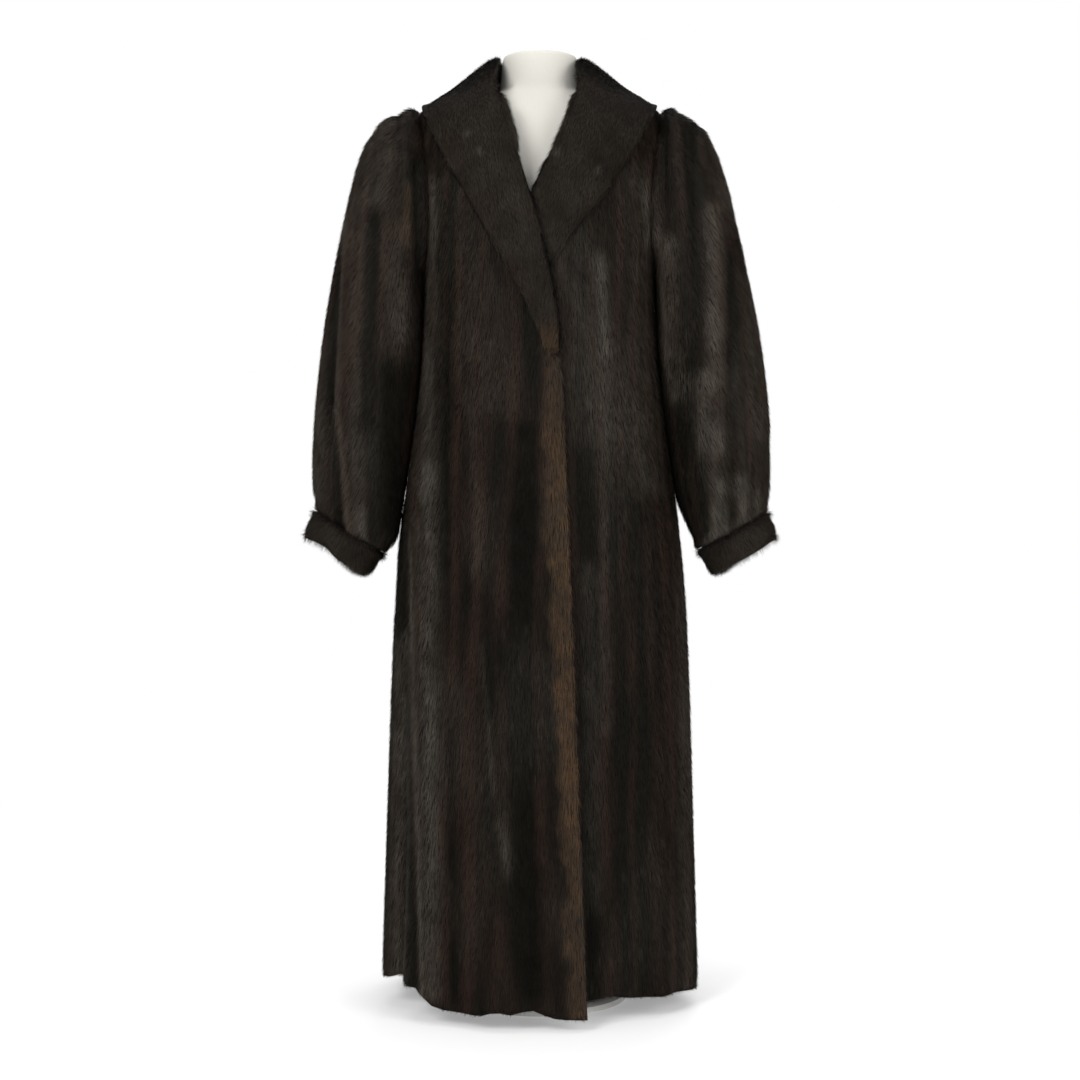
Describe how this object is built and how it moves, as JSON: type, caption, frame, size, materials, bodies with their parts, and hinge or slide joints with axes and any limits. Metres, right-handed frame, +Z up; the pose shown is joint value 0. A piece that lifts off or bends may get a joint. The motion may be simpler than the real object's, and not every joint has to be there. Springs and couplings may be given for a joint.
{
  "type": "fur coat on a limbless dress form",
  "caption": "Full-length fur coat with a shawl collar, full sleeves gathered into rolled fur cuffs and a lapped front, worn by a limbless dress form on a pole and round foot.",
  "frame": {"origin": "the middle of the foot's underside, on the floor", "axes": "+Z up, the coat's front faces -Y, the wearer's right side is at -X"},
  "size_m": [0.6581, 0.4427, 1.2947],
  "materials": {
    "fur": "dense short fur, glossy along its nap",
    "collar_fur": "dense short fur, glossy along its nap",
    "jersey": "matte knitted cover",
    "painted_steel": "satin paint"
  },
  "bodies": {
    "root": {"front_right": "fur", "front_left": "fur", "back": "fur", "sleeve_right": "fur", "sleeve_left": "fur", "cuff_right": "collar_fur", "cuff_left": "collar_fur", "collar": "collar_fur", "form_body": "jersey", "form_pole": "painted_steel", "form_base": "painted_steel"}
  },
  "joints": []
}
